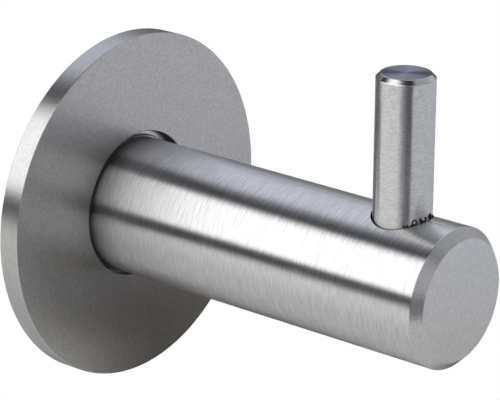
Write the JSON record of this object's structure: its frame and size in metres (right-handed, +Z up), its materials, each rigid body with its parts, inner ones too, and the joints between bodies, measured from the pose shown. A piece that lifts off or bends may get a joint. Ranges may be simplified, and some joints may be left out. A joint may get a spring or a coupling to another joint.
{
  "type": "coat hook",
  "caption": "Round steel coat hook: a wall rose, a chamfered post that stands out of it, and a short upright pin near the free end that keeps a hanging loop on the post.",
  "frame": {"origin": "centre of the back of the hook, on the wall", "axes": "+Y into the wall, the post points along -Y, +Z up, +X to the right seen from the front"},
  "size_m": [0.05, 0.06, 0.0542],
  "materials": {
    "rose_steel": "satin stainless steel, finely blasted and brushed without a clear direction",
    "post_steel": "stainless steel bar, brushed round its circumference",
    "pin_steel": "turned stainless steel rod with fine turning lines",
    "plate_steel": "turned stainless steel, plain",
    "screw_steel": "bright stainless steel screws"
  },
  "bodies": {
    "base": {"base_plate": "plate_steel", "post": "post_steel", "pin": "pin_steel", "post_screws": "screw_steel"},
    "rose": {"cover_rose": "rose_steel"}
  },
  "joints": [
    {"name": "rose_slide", "type": "slide", "parent": "base", "child": "rose", "axis": [0, -1, 0], "range_m": [0, 0.0425]}
  ]
}
